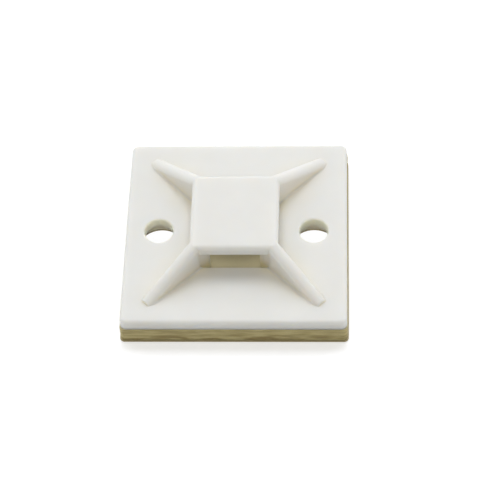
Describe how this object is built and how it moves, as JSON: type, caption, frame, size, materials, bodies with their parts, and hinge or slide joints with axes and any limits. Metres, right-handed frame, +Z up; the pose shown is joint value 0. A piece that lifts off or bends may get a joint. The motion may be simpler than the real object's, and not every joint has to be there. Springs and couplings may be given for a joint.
{
  "type": "cable tie mount",
  "caption": "Square self-adhesive cable tie mount: a raised cap carried on diagonal ribs over open tie windows, with screw holes either side and a foam pad beneath.",
  "frame": {"origin": "centre of the underside, on the surface that the mount is stuck or screwed to", "axes": "+Z up through the cap, away from that surface; +X along the line of the two screw holes"},
  "size_m": [0.0284, 0.0284, 0.0081],
  "materials": {
    "nylon": "satin natural nylon, moulded",
    "foam": "closed-cell foam, knife-cut edge",
    "liner_paper": "silicone-coated paper"
  },
  "bodies": {
    "root": {"mount": "nylon", "foam_pad": "foam", "release_liner": "liner_paper"}
  },
  "joints": []
}
